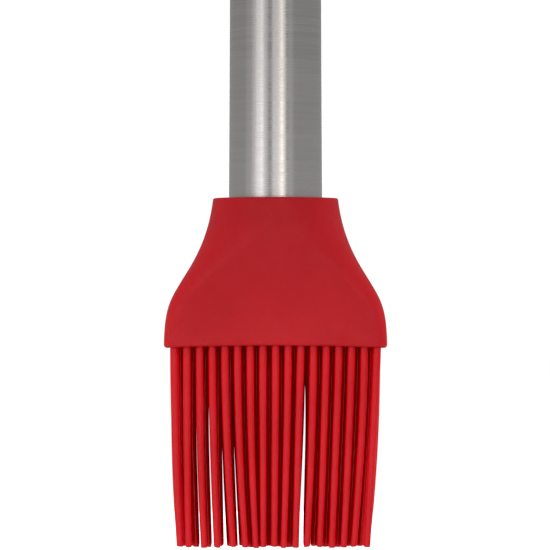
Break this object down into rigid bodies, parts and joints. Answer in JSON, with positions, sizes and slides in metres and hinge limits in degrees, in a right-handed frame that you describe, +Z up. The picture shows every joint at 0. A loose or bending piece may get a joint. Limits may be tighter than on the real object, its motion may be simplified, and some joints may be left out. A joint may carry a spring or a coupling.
{
  "type": "silicone pastry brush",
  "caption": "Pastry brush with a flat red silicone head of long slim bristles on a brushed steel tube handle, hung by an eyelet.",
  "frame": {"origin": "centre of the hang hole, on the handle's axis", "axes": "+Z up along the handle, away from the bristles; +X across the flat head's width; -Y is the front"},
  "size_m": [0.042, 0.0236, 0.25],
  "materials": {
    "handle_steel": "fine lines brushed around the tube, satin",
    "cap_steel": "turned and satin polished",
    "eyelet_steel": "bright polished",
    "core_plastic": "moulded nylon, matt",
    "seal_rubber": "matt black rubber",
    "pin_steel": "ground",
    "head_silicone": "moulded silicone, fine satin",
    "pad_silicone": "moulded silicone, fine satin",
    "bristle_silicone": "moulded silicone, smooth satin"
  },
  "bodies": {
    "handle": {"handle_tube": "handle_steel", "end_cap": "cap_steel", "hang_eyelet": "eyelet_steel", "head_core": "core_plastic", "core_seal": "seal_rubber", "core_pin": "pin_steel"},
    "head": {"head_boot": "head_silicone", "bristle_pad": "pad_silicone"},
    "row_1": {"bristle_row_1": "bristle_silicone"},
    "row_2": {"bristle_row_2": "bristle_silicone"},
    "row_3": {"bristle_row_3": "bristle_silicone"},
    "row_4": {"bristle_row_4": "bristle_silicone"},
    "row_5": {"bristle_row_5": "bristle_silicone"}
  },
  "joints": [
    {"name": "head_pull", "type": "slide", "parent": "handle", "child": "head", "axis": [0, 0, -1], "range_m": [0, 0.035]},
    {"name": "bristle_flex", "type": "hinge", "parent": "head", "child": "row_3", "pos_m": [0, 0, -0.2006], "axis": [1, 0, 0], "range_deg": [-40, 40], "stiffness_Nm_per_rad": 0.0009},
    {"name": "bristle_flex_1", "type": "hinge", "parent": "head", "child": "row_1", "pos_m": [0, -0.0041, -0.2006], "axis": [1, 0, 0], "range_deg": [-40, 40], "stiffness_Nm_per_rad": 0.0009},
    {"name": "bristle_flex_2", "type": "hinge", "parent": "head", "child": "row_2", "pos_m": [0, -0.00205, -0.2006], "axis": [1, 0, 0], "range_deg": [-40, 40], "stiffness_Nm_per_rad": 0.0009},
    {"name": "bristle_flex_4", "type": "hinge", "parent": "head", "child": "row_4", "pos_m": [0, 0.00205, -0.2006], "axis": [1, 0, 0], "range_deg": [-40, 40], "stiffness_Nm_per_rad": 0.0009},
    {"name": "bristle_flex_5", "type": "hinge", "parent": "head", "child": "row_5", "pos_m": [0, 0.0041, -0.2006], "axis": [1, 0, 0], "range_deg": [-40, 40], "stiffness_Nm_per_rad": 0.0009}
  ],
  "couplings": [
    {"joint": "bristle_flex_1", "follows": "bristle_flex", "ratio": 1},
    {"joint": "bristle_flex_2", "follows": "bristle_flex", "ratio": 1},
    {"joint": "bristle_flex_4", "follows": "bristle_flex", "ratio": 1},
    {"joint": "bristle_flex_5", "follows": "bristle_flex", "ratio": 1}
  ]
}
